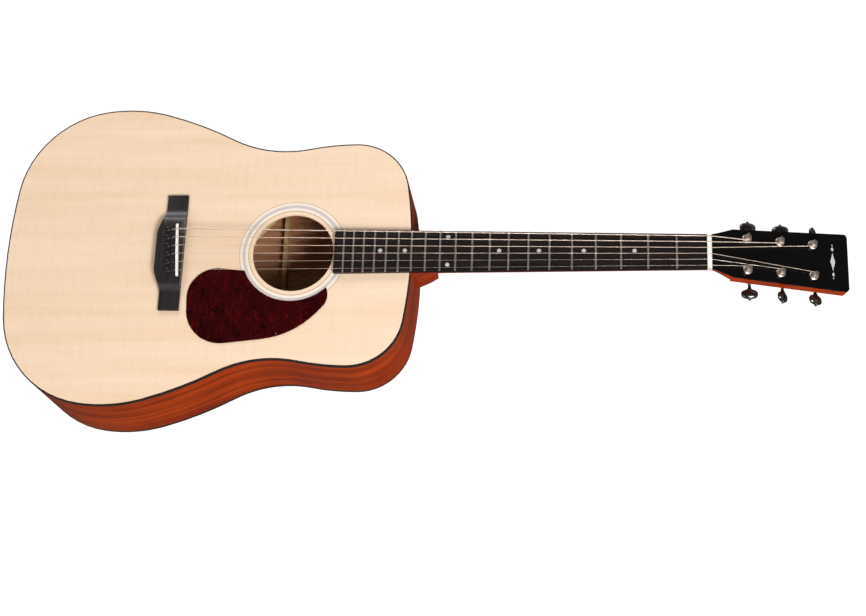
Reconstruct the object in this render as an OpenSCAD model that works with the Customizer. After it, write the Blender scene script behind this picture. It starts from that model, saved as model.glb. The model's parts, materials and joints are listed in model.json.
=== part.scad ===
// Dreadnought steel-string acoustic guitar, lying on its back.
// +X points along the neck to the headstock, +Y to the bass side, +Z out of the soundboard.
// The origin is on the table, under the middle of the whole instrument.

/* [Scale and neck] */
// Nut to bridge length of an open string
scale_len = 645.2; // [610:0.2:660]
// Lean of the neck behind the plane of the soundboard, in degrees
neck_angle = 0.5; // [0:0.1:1.2]
// Width of the fretboard at the nut
nut_w = 44; // [42:0.5:46]
// Width of the fretboard at its body end
board_end_w = 56.5; // [54:0.5:60]
// Thickness of the fretboard
board_t = 6; // [5:0.5:7]
// Radius of the curved playing surface
board_r = 406; // [300:1:500]
// Depth of the neck wood behind the fretboard at the nut
neck_d = 15; // [13:0.5:17]
// Radius of the heel sweep along the neck
heel_sweep = 40; // [30:1:50]
// Reach of the heel cap from the body
heel_reach = 25; // [20:1:27]
// Height of the heel cap above the back's plane
heel_lift = 14; // [10:1:18]

/* [Headstock] */
// Lean of the headstock behind the soundboard plane, in degrees
head_angle = 14; // [12:0.5:17]
// Length of the headstock along its face
head_len = 172; // [165:1:180]
// Half width of the headstock at its shoulders
shoulder_w = 30.8; // [29:0.2:33]
// Half width of the headstock at its tip
tip_w = 37.4; // [33:0.2:38]
// Thickness of the headstock with its face veneer
head_t = 15; // [14:0.5:16]

/* [Body] */
// Depth of the body at the neck
depth_neck = 105; // [95:1:110]
// Depth of the body at the tail
depth_tail = 132; // [115:1:135]
// Soundhole radius
hole_r = 50.8; // [48:0.2:52]
// Distance from the neck end of the body to the soundhole's middle
hole_x = 148.6; // [146:0.2:152]
// Thickness of the soundboard
top_t = 3; // [2.6:0.1:3.4]
// Thickness of the back
back_t = 2.8; // [2.4:0.1:3.2]
// Thickness of the sides
side_t = 2.2; // [2:0.1:2.4]
// Width of the edge binding
bind_w = 1.6; // [1.4:0.1:2]
// Height of the edge binding
bind_h = 6; // [5:0.5:7]

/* [Bridge and strings] */
// Thickness of the bridge
bridge_t = 9.5; // [8.5:0.5:10]
// Length of the bridge across the strings
bridge_len = 154; // [150:1:158]
// Spread of the outer strings at the nut
nut_spread = 37.6; // [36:0.2:38.5]
// Spread of the outer strings at the saddle
saddle_spread = 55; // [53:0.5:57]
// Extra string length at the middle of the saddle
compensation = 6; // [4:0.1:7]
// Slant of the saddle, in degrees
saddle_slant = 4.5; // [3:0.1:5]

/* [Tuners] */
// Distance between posts along the headstock
post_step = 41.3; // [40:0.1:42]
// Distance of the posts from the headstock's centre line
post_y = 20; // [19:0.5:21]
// Distance from a post's axis to its worm's axis
gear_centre = 8.5; // [8.4:0.1:8.6]
// Teeth on each gear
teeth = 14; // [12:2:14]

/* [Hidden] */

gap = 0.05;      // running clearance
glue = 0.015;    // glue line between two flat faces
past = 1;        // how far a cutter runs past a face
big = 700;       // longer than the instrument

// ---- Colours ----
spruce = "#f6dfc0";
mahogany = "#a8592c";
ebony = "#2a211e";
tortoise = "#4a0d10";
bone = "#f7f3ea";
nickel = "#b9b7b2";
brass = "#b59a56";
steel = "#9b9a98";
bronze = "#c79a5b";
brace_wood = "#ecd2a6";

// ---- Frames ----
// The soundboard frame has its origin where the neck meets the body, on top of the soundboard.
nut_x = scale_len * (1 - pow(2, -14 / 12));
module laid() {
    translate([-(tip_end + tail_end) / 2, 0, depth_neck * cos(taper)]) rotate([0, taper, 0]) children();
}
// The board frame lies on the playing surface's centre line and leans back by neck_angle.
module board_frame() { translate([0, 0, board_t]) rotate([0, neck_angle, 0]) children(); }
function board_point(x, z) = [x * cos(neck_angle) + z * sin(neck_angle),
    board_t - x * sin(neck_angle) + z * cos(neck_angle)];
// The head frame lies on the headstock's face: X to the tip, Z out of the face.
head_at = board_point(nut_x + 4, -0.5);
module head_frame() { translate([head_at[0], 0, head_at[1]]) rotate([0, head_angle, 0]) children(); }
function head_point(s, y, n) = [head_at[0] + s * cos(head_angle) + n * sin(head_angle), y,
    head_at[1] - s * sin(head_angle) + n * cos(head_angle)];

// ---- Body outline: tangent arcs from the neck end round to the tail ----
// Each arc has its radius, the heading at its end and its number of facets.
ARCS = [[560, 80.8, 5], [69, 0, 13], [308, -11.2, 4], [152, 27.6, 9], [480, 16.2, 4],
    [192, -8, 8], [126.5, -83, 12]];
function heading(i) = i < 0 ? 90 : ARCS[i][1];
function turn(i) = heading(i) < heading(i - 1) ? 1 : -1;
function left_of(h) = [cos(h + 90), sin(h + 90)];
function arc_start(i) = i == 0 ? [0, 0] : arc_start(i - 1)
    + turn(i - 1) * ARCS[i - 1][0] * (left_of(heading(i - 1)) - left_of(heading(i - 2)));
function arc_points(start, r, from, to, n, inset) = let (side = from > to ? 1 : -1)
    [for (k = [0:n - 1]) let (h = from + (to - from) * k / n)
        start + side * r * (left_of(h) - left_of(from)) - inset * left_of(h)];
tail_start = arc_start(len(ARCS));
tail_r = tail_start[1] / cos(heading(len(ARCS) - 1));
body_len = tail_start[0] + tail_r * (1 + sin(heading(len(ARCS) - 1)));
taper = atan((depth_tail - depth_neck) / body_len);   // angle between the soundboard and the back
function half_outline(inset) = concat(
    [for (i = [0:len(ARCS) - 1])
        each arc_points(arc_start(i), ARCS[i][0], heading(i - 1), heading(i), ARCS[i][2], inset)],
    arc_points(tail_start, tail_r, heading(len(ARCS) - 1), -90, 4, inset),
    [[body_len - inset, 0]]);
module outline(inset = 0) {
    half = half_outline(inset);
    last = len(half) - 1;
    polygon(concat([for (p = half) [-p[0], p[1]]],
        [for (i = [1:last - 1]) -half[last - i]]));
}
module body_prism(inset, low, high) { translate([0, 0, low]) linear_extrude(high - low) outline(inset); }
// A layer parallel to the back, from low to high above the back's outer face
module back_layer(low, high) {
    translate([0, 0, -depth_neck]) rotate([0, -taper, 0])
        translate([-big, -big / 2, low]) cube([big + 80, big, high - low]);
}
module rim(outer, inner, low, high) {
    difference() {
        body_prism(outer, low, high);
        body_prism(inner, low - past, high + past);
    }
}
deep = -depth_tail - 30;   // below the whole body

// ---- Soundbox ----
rosette_rings = [[55.4, 56.4], [57.2, 66.4], [67.4, 68.2]];
rosette_deep = 1.2;
module ring(inner, outer, low, high) {
    translate([0, 0, low]) rotate_extrude($fn = 180)
        translate([inner, 0]) square([outer - inner, high - low]);
}
module rosette() {
    color(bone) laid() translate([-hole_x, 0, 0])
        for (r = rosette_rings) ring(r[0], r[1], -rosette_deep, 0);
}
module soundboard() {
    color(spruce) laid() difference() {
        body_prism(bind_w, -top_t, 0);
        translate([-hole_x, 0, 0]) {
            translate([0, 0, -top_t - past]) cylinder(r = hole_r, h = top_t + 2 * past, $fn = 180);
            for (r = rosette_rings) ring(r[0], r[1], -rosette_deep, past);
        }
        tenon(past);
        pin_holes();
    }
}
module back_plate() {
    color(mahogany) laid() intersection() {
        body_prism(bind_w, deep, -30);
        back_layer(0, back_t);
    }
}
wedge_w = [9, 13];   // half widths of the end wedge at the back and at the top
module wedge_shape() {
    rotate([90, 0, -90]) linear_extrude(40, center = true)
        polygon([[-wedge_w[0], deep], [wedge_w[0], deep], [wedge_w[1], 0], [-wedge_w[1], 0]]);
}
module side(mirrored) {
    laid() difference() {
        rim(0, side_t, deep, -top_t);
        rim(-past, bind_w, -bind_h, 0);
        intersection() { rim(-past, bind_w, deep - past, -30); back_layer(-2 * big, bind_h); }
        back_layer(-2 * big, back_t);
        translate([-big, mirrored ? 0 : -big / 2, deep]) cube([big + 80, big / 2, big]);
        tenon(past);
        translate([-body_len, 0, 0]) wedge_shape();
    }
}
module side_bass() { color(mahogany) side(false); }
module side_treble() { color(mahogany) side(true); }
module edge_bindings() {
    color(ebony) laid() {
        difference() { rim(0, bind_w, -bind_h, 0); tenon(past); }
        intersection() { rim(0, bind_w, deep, -30); back_layer(0, bind_h); }
    }
}
block_len = 48;
block_w = 100;
tail_block_len = 20;
tail_block_w = 84;
lining_w = 6.5;
lining_h = 13;
module block_box(from, to, width) {
    translate([from, -width / 2, deep]) cube([to - from, width, -deep - top_t]);
}
module linings() {
    color(brace_wood) laid() difference() {
        union() {
            rim(side_t, side_t + lining_w, -top_t - lining_h, -top_t);
            intersection() {
                rim(side_t, side_t + lining_w, deep, -30);
                back_layer(back_t, back_t + lining_h);
            }
        }
        block_box(-block_len - side_t, 10, block_w);
        block_box(-body_len - 10, -body_len + side_t + tail_block_len, tail_block_w);
    }
}
module neck_block() {
    color(mahogany) laid() difference() {
        intersection() {
            block_box(-block_len - side_t, 10, block_w);
            body_prism(side_t, deep, -top_t);
        }
        back_layer(-2 * big, back_t);
        tenon(past);
        rod_channel();
        rod_bore();
    }
}
pin_z = -58;         // height of the strap pin below the soundboard
pin_neck_r = 4.5;
strap_pin_len = 13;
// The two ends of the instrument along its length, once it lies on its back
tip_end = head_point(head_len, 0, 0) * [cos(taper), 0, sin(taper)];
tail_end = [-body_len - strap_pin_len, 0, pin_z] * [cos(taper), 0, sin(taper)];
module tail_block() {
    color(mahogany) laid() difference() {
        intersection() {
            block_box(-body_len - 10, -body_len + side_t + tail_block_len, tail_block_w);
            body_prism(side_t, deep, -top_t);
        }
        back_layer(-2 * big, back_t);
        tail_bore();
    }
}
module tail_bore() {
    translate([-body_len - 10, 0, pin_z]) rotate([0, 90, 0]) cylinder(r = pin_neck_r, h = 26, $fn = 48);
}
module end_wedge() {
    color(ebony) laid() difference() {
        intersection() {
            rim(0, side_t, deep, -bind_h);
            translate([-body_len, 0, 0]) wedge_shape();
        }
        back_layer(-2 * big, bind_h);
        tail_bore();
    }
}
module end_pin() {
    head_r = 7.5;
    color(ebony) laid() translate([-body_len, 0, pin_z]) rotate([0, -90, 0]) rotate_extrude($fn = 64)
        polygon([[0, -15], [pin_neck_r - 0.3, -15], [pin_neck_r - gap, -14], [pin_neck_r - gap, 0],
            [head_r - 0.6, 0], [head_r, 0.6], [head_r, 1.6], [5.4, 3.4], [4.4, 6], [5, 8.4],
            [head_r, 9.8], [head_r, 10.8], [head_r - 1, 12], [4, 12.8], [0, strap_pin_len]]);
}

// ---- Braces, in the soundboard frame, glued under the soundboard ----
brace_edge = side_t + lining_w;
module inside_rim() { intersection() { children(); body_prism(brace_edge, deep, 0); } }
// A bar with tapered ends: its middle, direction, length, width, height and end height
module bar(at, turned, length, width, height, tip) {
    scoop = height * 0.9;
    translate([at[0], at[1], -top_t]) rotate([0, 0, turned]) rotate([90, 0, 0])
        linear_extrude(width, center = true) polygon([[-length / 2, 0], [length / 2, 0],
            [length / 2, -tip], [length / 2 - 2 * scoop, -height], [2 * scoop - length / 2, -height],
            [-length / 2, -tip]]);
}
x_cross = -225;
x_turn = 49;
x_brace_h = 15;
x_brace_w = 8;
module x_leg(way) {
    inside_rim() translate([x_cross, 0, 0]) rotate([0, 0, way * x_turn])
        translate([-45, 0, 0]) bar([0, 0], 0, 420, x_brace_w, x_brace_h, 5);
}
module x_notch(low, high) {
    translate([x_cross - 12, -12, -top_t - high]) cube([24, 24, high - low]);
}
module x_brace_lower() {
    color(brace_wood) laid() difference() {
        x_leg(1);
        intersection() { x_notch(-past, x_brace_h / 2); x_leg_strip(-1); }
    }
}
module x_brace_upper() {
    color(brace_wood) laid() difference() {
        x_leg(-1);
        intersection() { x_notch(x_brace_h / 2, x_brace_h + past); x_leg_strip(1); }
    }
}
module x_leg_strip(way) {
    translate([x_cross, 0, -30]) rotate([0, 0, way * x_turn]) cube([60, x_brace_w, 80], center = true);
}
module transverse_brace() {
    color(brace_wood) laid() inside_rim() bar([-80, 0], 90, 300, 12, 17, 6);
}
module soundhole_braces() {
    color(brace_wood) laid() for (s = [-1, 1]) bar([-125, s * 58], 0, 74, 5, 7, 2.5);
}
module tone_bars() {
    color(brace_wood) laid() difference() {
        inside_rim() {
            bar([-372, 22], 62, 210, 7, 12, 3);
            bar([-432, 30], 66, 190, 7, 11, 3);
        }
        for (s = [-1, 1]) x_leg_solid(s);
    }
}
module x_leg_solid(way) {
    translate([x_cross, 0, -30]) rotate([0, 0, way * x_turn])
        translate([-150, 0, 0]) cube([560, x_brace_w, 80], center = true);
}
module finger_braces() {
    color(brace_wood) laid() inside_rim() for (s = [-1, 1], b = [[-225, 88], [-275, 130]])
        bar([b[0], s * b[1]], s * 62, 74, 5.5, 9, 2.5);
}
plate_t = 3;
module bridge_plate() {
    color(brace_wood) laid() difference() {
        translate([-324, -55, -top_t - plate_t]) cube([38, 110, plate_t]);
        for (s = [-1, 1]) x_leg_solid(s);
        pin_holes();
    }
}
back_brace_x = [-100, -179, -312, -425];
back_brace_w = [8, 6, 20, 20];
back_brace_h = [15, 11, 9, 9];
module back_braces() {
    color(brace_wood) laid() intersection() {
        body_prism(brace_edge, deep, -30);
        for (i = [0:3]) translate([0, 0, -depth_neck]) rotate([0, -taper, 0])
            translate([back_brace_x[i], 0, back_t]) rotate([90, 0, 90])
                linear_extrude(back_brace_w[i], center = true)
                    polygon([[-210, 0], [210, 0], [210, 4], [150, back_brace_h[i]],
                        [-150, back_brace_h[i]], [-210, 4]]);
    }
}
module back_strips() {
    strip_w = 18;
    stops = concat([-block_len - side_t], back_brace_x, [-body_len + side_t + tail_block_len]);
    half = concat([0], back_brace_w / 2, [0]);
    color(brace_wood) laid() for (i = [0:4])
        translate([0, 0, -depth_neck]) rotate([0, -taper, 0])
            translate([stops[i + 1] + half[i + 1] + 1.5, -strip_w / 2, back_t])
                cube([stops[i] - stops[i + 1] - half[i] - half[i + 1] - 3, strip_w, 2]);
}

// ---- Strings: 1 is the thinnest, on the treble side ----
string_d = [0.32, 0.42, 0.62, 0.82, 1.08, 1.36];
nut_rise = 1.55;      // string above the board at the nut
saddle_rise = 5.1;    // string above the board's plane at the saddle
function string_r(i) = string_d[i] / 2;
function spread(i, width) = -width / 2 + width * i / 5;
function camber(y) = -y * y / (2 * board_r);
function saddle_x(y) = nut_x - scale_len - compensation - y * tan(saddle_slant);
function nut_point(i) = let (y = spread(i, nut_spread),
    p = board_point(nut_x, camber(y) + nut_rise + string_r(i))) [p[0], y, p[1]];
function saddle_point(i) = let (y = spread(i, saddle_spread), x = saddle_x(y),
    p = board_point(x, camber(y) + saddle_rise + string_r(i))) [p[0], y, p[1]];
post_s0 = 45.5;       // first post, measured along the head face
post_r = 3;
wrap_n = 5.2;         // height of the string on its post above the head face
function post_row(i) = i < 3 ? i : 5 - i;
function post_side(i) = i < 3 ? -1 : 1;
function post_s(i) = post_s0 + post_step * post_row(i);
function post_point(i) =
    head_point(post_s(i), post_side(i) * (post_y - wrap_r(i)), wrap_n - post_row(i) * 0.4);
function wrap_r(i) = post_waist_r + string_r(i) + gap;
function nut_back(i) = let (y = spread(i, nut_spread),
    p = board_point(nut_x + nut_len - 0.4, camber(y) + nut_rise + string_r(i) - 0.35)) [p[0], y, p[1]];
ball_r = 2;           // ball end of a string, under the bridge plate
// A round wire swept along its route, mitred at each bend
wire_sides = 12;
module wire(route, r) {
    last = len(route) - 1;
    unit = [for (k = [0:last - 1]) (route[k + 1] - route[k]) / norm(route[k + 1] - route[k])];
    rings = [for (k = [0:last]) let (
        before = unit[max(0, k - 1)], after = unit[min(last - 1, k)],
        along = (before + after) / norm(before + after),
        side = cross([0, 1, 0], along) / norm(cross([0, 1, 0], along)),
        up = cross(along, side), stretch = 1 / (along * after))
        for (j = [0:wire_sides - 1]) let (a = 360 * j / wire_sides)
            route[k] + r * (stretch * cos(a) * side + sin(a) * up)];
    m = wire_sides;
    polyhedron(rings, concat([[for (j = [0:m - 1]) j]],
        [for (k = [0:last - 1], j = [0:m - 1]) each let (a = k * m + j, b = k * m + (j + 1) % m)
            [[a, a + m, b], [b, a + m, b + m]]],
        [[for (j = [0:m - 1]) (last + 1) * m - 1 - j]]), convexity = 6);
}
// Each string runs from its ball under the bridge plate, over the saddle and the nut, to its post.
module string(i) {
    r = string_r(i);
    y = spread(i, saddle_spread);
    slot_x = pin_x(y) + pin_r + 0.1 + r;
    under = -top_t - plate_t;
    back = saddle_back(i);
    route = [[slot_x, y, under - 1.2], [slot_x, y, bridge_t - 0.8], [slot_x + 0.4, y, bridge_t + 0.1],
        back, saddle_point(i), nut_point(i), nut_back(i), post_point(i)];
    color(i < 2 ? steel : bronze) laid() {
        wire(route, r);
        translate([pin_x(y) + pin_r + ball_r, y, under - ball_r - 0.4]) rotate([90, 0, 0])
            cylinder(r = ball_r, h = 3.2, center = true, $fn = 32);
    }
}
function saddle_back(i) = saddle_point(i) + [-1.9, 0, -0.03];
module string_1() { string(0); }
module string_2() { string(1); }
module string_3() { string(2); }
module string_4() { string(3); }
module string_5() { string(4); }
module string_6() { string(5); }

// ---- Bridge ----
bridge_front = nut_x - scale_len - compensation + 6.4;
wing_len = 26.2;
belly_len = 34.5;
pin_r = 2.6;
pin_back = 12;        // pins behind the saddle
function pin_x(y) = saddle_x(y) - pin_back;
function belly(y) = let (t = min(1, max(0, (abs(y) - 22) / 32)))
    -wing_len - (belly_len - wing_len) * (1 + cos(180 * t)) / 2;
function ramp(y) = let (t = min(1, max(0, (abs(y) - 43) / 15)))
    3.3 + (bridge_t - 3.3) * pow(1 - sin(90 * t), 1.2);
module pin_holes() {
    for (i = [0:5]) let (y = spread(i, saddle_spread)) {
        translate([pin_x(y), y, -20]) cylinder(r = pin_r + gap, h = 40, $fn = 32);
        translate([pin_x(y), y - string_r(i) - gap, -20])
            cube([pin_r + string_d[i] + 0.2, string_d[i] + 2 * gap, 40]);
    }
}
// Notches in the bridge's top, where the strings rise to the saddle
module string_ramps() {
    for (i = [0:5]) let (y = spread(i, saddle_spread), r = string_r(i))
        translate([pin_x(y), y - r - gap, bridge_t - 1.2]) cube([pin_r + 3 * r + 1.2, 2 * (r + gap), 3]);
}
module saddle_frame() { translate([saddle_x(0), 0, 0]) rotate([0, 0, saddle_slant]) children(); }
saddle_w = 3;
saddle_len = 70;
saddle_slot = 5.5;
module saddle_block(low, high) {
    translate([-saddle_w / 2, -saddle_len / 2, low]) cube([saddle_w, saddle_len, high - low]);
}
module bridge() {
    steps = 44;
    ys = [for (k = [0:steps]) bridge_len * (k / steps - 0.5)];
    color(ebony) laid() difference() {
        intersection() {
            linear_extrude(bridge_t + past) polygon(concat(
                [[bridge_front, -bridge_len / 2]],
                [for (y = ys) [bridge_front + belly(y), y]],
                [[bridge_front, bridge_len / 2]]));
            translate([bridge_front + past, 0, 0]) rotate([90, 0, -90]) linear_extrude(50)
                polygon(concat([[bridge_len / 2, 0], [-bridge_len / 2, 0]], [for (y = ys) [y, ramp(y)]]));
        }
        saddle_frame() saddle_block(bridge_t - saddle_slot, bridge_t + past);
        pin_holes();
        string_ramps();
    }
}
function saddle_top() = board_point(saddle_x(0), saddle_rise - gap)[1];
module saddle() {
    color(bone) laid() saddle_frame() intersection() {
        saddle_block(bridge_t - saddle_slot, bridge_t + 8);
        translate([0, 0, saddle_top() - board_r]) rotate([0, 90, 0])
            cylinder(r = board_r, h = 10, center = true, $fn = 720);
    }
}
module bridge_pins() {
    color(ebony) laid() for (i = [0:5]) let (y = spread(i, saddle_spread)) translate([pin_x(y), y, bridge_t])
        rotate_extrude($fn = 40)
            polygon([[0, -21], [pin_r - 0.7, -21], [pin_r - 0.4, -19], [pin_r, 0.2], [pin_r, 1],
                [3.4, 1.4], [3.7, 2.1], [3.6, 2.9], [3, 3.8], [1.8, 4.5], [0, 4.7]]);
}
// ---- Pickguard: a teardrop plate cut round the rosette ----
guard_t = 1;
module pickguard() {
    color(tortoise) laid() translate([-hole_x, 0, 0]) difference() {
        linear_extrude(guard_t) hull() {
            translate([-93, -58]) circle(r = 37, $fn = 96);
            translate([-84, -74]) circle(r = 45, $fn = 96);
            translate([23.5, -56]) circle(r = 23, $fn = 96);
            polygon([[-45, -60], for (a = [-38:-5:-88]) [-45 + 106 * cos(a), -8 + 106 * sin(a)]]);
        }
        translate([0, 0, -past]) cylinder(r = 64, h = 5, $fn = 180);
    }
}

// ---- Neck ----
board_end_x = -96;    // body end of the fretboard
function board_w(x) = nut_w + (board_end_w - nut_w) * (nut_x - x) / (nut_x - board_end_x);
shaft_grow = 0.006;   // added depth per length towards the body
function shaft_d(x) = neck_d + shaft_grow * (nut_x - x);
heel_d = 120;         // depth of the heel solid before its cap face is cut
heel_z = depth_neck - heel_lift;
function heel_line(x) = x < heel_reach ? heel_d
    : x < heel_reach + heel_sweep ? let (d = heel_z, u = (heel_reach + heel_sweep - x) / heel_sweep)
        d - (d - shaft_d(x)) * sqrt(1 - u * u) : 0;
function nose(z) = let (f = max(0, min(1, (heel_z - z) / (heel_z - shaft_d(40)))))
    heel_reach + heel_sweep * (1 - sqrt(max(0, 1 - f * f))) + 0.01;
function cheek(z) = 13.2 + 10 * pow(max(0, 1 - z / heel_z), 1.6);
function heel_half(x, z) = x < nose(z) ? cheek(z) * pow(1 - max(0, x) / nose(z), 0.72) : 0;
function shaft_half(x, z) = z < shaft_d(x) ? board_w(x) / 2 * sqrt(1 - pow(z / shaft_d(x), 2)) : 0;
function blend(a, b) = pow(pow(a, 5) + pow(b, 5), 0.2);
ring_steps = 14;
function shaft_section(x) = let (d = max(shaft_d(x), heel_line(x)))
    [for (k = [0:ring_steps]) let (z = d * sin(90 * k / ring_steps),
            y = min(board_w(x) / 2, blend(shaft_half(x, z), heel_half(x, z))))
        [x, k == ring_steps ? 0 : max(0.05, y), -board_t - z]];
function to_soundboard(p) = let (q = board_point(p[0], p[2])) [q[0], p[1], q[1]];
// Headstock root sections: place along the head, depth and squareness
ROOT = [[3.5, 17.6, 2.2], [8, 16.6, 2.4], [12, 15.6, 2.8], [16, 14.8, 3.4], [20, 14.2, 4.4],
    [24, 13.7, 6], [27.5, 13.2, 8], [32, 13, 12]];
veneer_t = 2;
wood_t = head_t - veneer_t;
flare_s = 28;         // where the flare behind the nut ends at the shoulders
function head_w(s) = s < flare_s
    ? nut_w / 2 + (shoulder_w - nut_w / 2) * pow(max(0, s - 1.5) / (flare_s - 1.5), 1.1)
    : shoulder_w + (tip_w - shoulder_w) * (s - flare_s) / (head_len - flare_s);
// The last root section ends inside the head's board, so it is sunk below that board's face.
function root_section(s, d, m) = let (sunk = s > flare_s ? 0.5 : 0)
    [for (k = [0:ring_steps]) let (t = sin(90 * k / ring_steps))
        head_point(s, (head_w(s) - 0.02) * pow(1 - pow(t, m), 1 / m),
            -veneer_t - sunk - (d - sunk - 0.02) * t)];
shaft_stations = [-3, 4, 10, 15, 19, 22, 24.5, 26.5, 28, 30, 33, 37, 42, 48, 54, 60, 66, 140, 250, nut_x];
module loft(rows) {
    n = len(rows[0]);
    loops = [for (row = rows) concat(row, [for (k = [2:n]) [row[n - k][0], -row[n - k][1], row[n - k][2]]])];
    m = 2 * n - 1;
    points = [for (l = loops) each l];
    far = (len(rows) - 1) * m;
    polyhedron(points, concat(
        [for (k = [0:n - 2]) each let (a = [k, k + 1, m - 1 - k, (m - 2 - k)])
            [[a[1], a[0], a[2]], if (k < n - 2) [a[1], a[2], a[3]]]],
        [for (r = [0:len(rows) - 2], k = [0:m - 1]) each let (a = r * m + k, b = r * m + (k + 1) % m)
            [[a, b, a + m], [b, b + m, a + m]]],
        [for (k = [0:n - 2]) each let (a = [k, k + 1, m - 1 - k, m - 2 - k])
            [[far + a[0], far + a[1], far + a[2]], if (k < n - 2) [far + a[2], far + a[1], far + a[3]]]]),
        convexity = 6);
}
tip_r = 5;            // radius of the headstock's two corners
module head_plan(from) {
    ss = concat([from], [for (s = [6:3:27]) if (s > from) s], [flare_s, head_len - tip_r]);
    polygon(concat([for (s = ss) [s, head_w(s)]],
        [for (a = [75:-15:0]) [head_len - tip_r + tip_r * cos(a), tip_w - tip_r + tip_r * sin(a)]],
        [for (a = [0:15:75]) [head_len - tip_r + tip_r * cos(a), tip_r - tip_w - tip_r * sin(a)]],
        [for (i = [1:len(ss)]) let (s = ss[len(ss) - i]) [s, -head_w(s)]]));
}
// The dovetail tenon, a hair short of the fretboard above it
module tenon(extra = -0.02) {
    tenon_d = heel_z - 7;
    translate([0, 0, -tenon_d]) linear_extrude(tenon_d + extra)
        polygon([[0.8, -11], [0.8, 11], [-17, 15], [-17, -15]]);
}
rod_z = 7.9;          // truss rod axis below the board's underside
rod_half = 3.1;
module rod_channel() {
    board_frame() translate([-block_len - 12, -rod_half, -board_t - rod_z - rod_half])
        cube([nut_x + block_len, 2 * rod_half, rod_z + rod_half + past]);
}
module rod_bore() {
    board_frame() translate([-block_len - 20, 0, -board_t - rod_z]) rotate([0, 90, 0])
        cylinder(r = 4.2, h = 40, $fn = 48);
}
module neck() {
    color(mahogany) laid() difference() {
        union() {
            difference() {
                loft(concat([for (x = shaft_stations) [for (p = shaft_section(x)) to_soundboard(p)]],
                    [for (r = ROOT) root_section(r[0], r[1], r[2])]));
                body_prism(0, deep, 20);
            }
            tenon();
            head_frame() translate([0, 0, -head_t]) linear_extrude(wood_t) head_plan(flare_s);
        }
        translate([-10, -40, -glue]) cube([10, 80, 20]);
        back_layer(-2 * big, heel_lift + cap_t);
        rod_channel();
        board_frame() translate([nut_x, -30, -board_t - nut_seat]) cube([nut_len, 60, 20]);
        head_frame() tuner_bores();
    }
}
cap_t = 2.5;
module heel_cap() {
    color(ebony) laid() difference() {
        intersection() {
            loft([for (x = shaft_stations) if (x < 30) [for (p = shaft_section(x)) to_soundboard(p)]]);
            back_layer(heel_lift, heel_lift + cap_t);
        }
        body_prism(0, deep, 20);
    }
}
module board_plan() {
    polygon([[nut_x, nut_w / 2], [nut_x, -nut_w / 2],
        [board_end_x, -board_end_w / 2], [board_end_x, board_end_w / 2]]);
}
module camber_disc(rise, from, to) {
    translate([from, 0, rise - board_r]) rotate([0, 90, 0]) cylinder(r = board_r, h = to - from, $fn = 720);
}
fret_w = 2.4;
fret_h = 1.1;
tang_w = 0.6;
tang_h = 1.8;
function fret_x(n) = nut_x - scale_len * (1 - pow(2, -n / 12));
module fretboard() {
    color(ebony) laid() difference() {
        intersection() {
            rotate([90, 0, 0]) linear_extrude(80, center = true) polygon([board_point(nut_x, 1),
                board_point(board_end_x, 1), [board_end_x, 0], [0, 0], board_point(nut_x, -board_t)]);
            translate([0, 0, -10]) linear_extrude(30) board_plan();
            board_frame() camber_disc(0, board_end_x - 10, nut_x + 10);
        }
        board_frame() {
            for (n = [1:20]) translate([fret_x(n) - tang_w / 2, -40, -tang_h]) cube([tang_w, 80, 10]);
            dots(past);
        }
    }
}
module frets() {
    crown = [for (a = [0:20:180]) [cos(a) * fret_w / 2, fret_h * sin(a)]];
    color(steel) laid() intersection() {
        board_frame() for (n = [1:20]) {
            intersection() {
                translate([fret_x(n), 0, -board_r]) rotate([0, 90, 0]) rotate_extrude($fn = 720)
                    polygon([for (p = crown) [board_r + 0.02 + p[1], p[0]]]);
                translate([fret_x(n) - 3, -40, -4]) cube([6, 80, 8]);
            }
            intersection() {
                translate([fret_x(n) - tang_w / 2, -40, -tang_h]) cube([tang_w, 80, 10]);
                camber_disc(0.2, fret_x(n) - 2, fret_x(n) + 2);
            }
        }
        translate([0, 0, -10]) linear_extrude(30) board_plan();
    }
}
DOTS = [[3, 0], [5, 0], [7, 0], [9, 0], [12, -18.3], [12, 18.3], [15, 0], [17, 0]];
dot_r = 2.6;
dot_deep = 1.5;
// Dots set square to the curved playing surface
module dots(extra = 0) {
    for (d = DOTS) translate([(fret_x(d[0]) + fret_x(d[0] - 1)) / 2, 0, -board_r])
        rotate([-asin(d[1] / board_r), 0, 0]) translate([0, 0, board_r - dot_deep])
            cylinder(r = dot_r, h = dot_deep - 0.013 + extra, $fn = 48);
}
module position_dots() { color(bone) laid() board_frame() dots(); }
nut_len = 5.5;
nut_seat = 0.1;       // depth of the nut's seat in the neck
module nut() {
    color(bone) laid() board_frame() difference() {
        intersection() {
            translate([nut_x, -nut_w / 2, -board_t - nut_seat]) cube([nut_len, nut_w, board_t + 4]);
            camber_disc(2.1, nut_x - 5, nut_x + 15);
            translate([nut_x - 3, 0, -4]) rotate([90, 0, 0])
                cylinder(r = 9.6, h = 80, center = true, $fn = 96);
        }
        for (i = [0:5]) let (y = spread(i, nut_spread), r = string_r(i))
            translate([nut_x - 1, y - r - gap, camber(y) + nut_rise - 0.5])
                cube([nut_len + 2, 2 * (r + gap), 8]);
    }
}
module head_veneer() {
    color("#15120f") laid() difference() {
        head_frame() translate([0, 0, glue - veneer_t]) linear_extrude(veneer_t - glue) head_plan(1);
        board_frame() translate([nut_x - 10, -30, -20]) cube([10 + nut_len, 60, 40]);
        head_frame() tuner_bores();
    }
}
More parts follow.
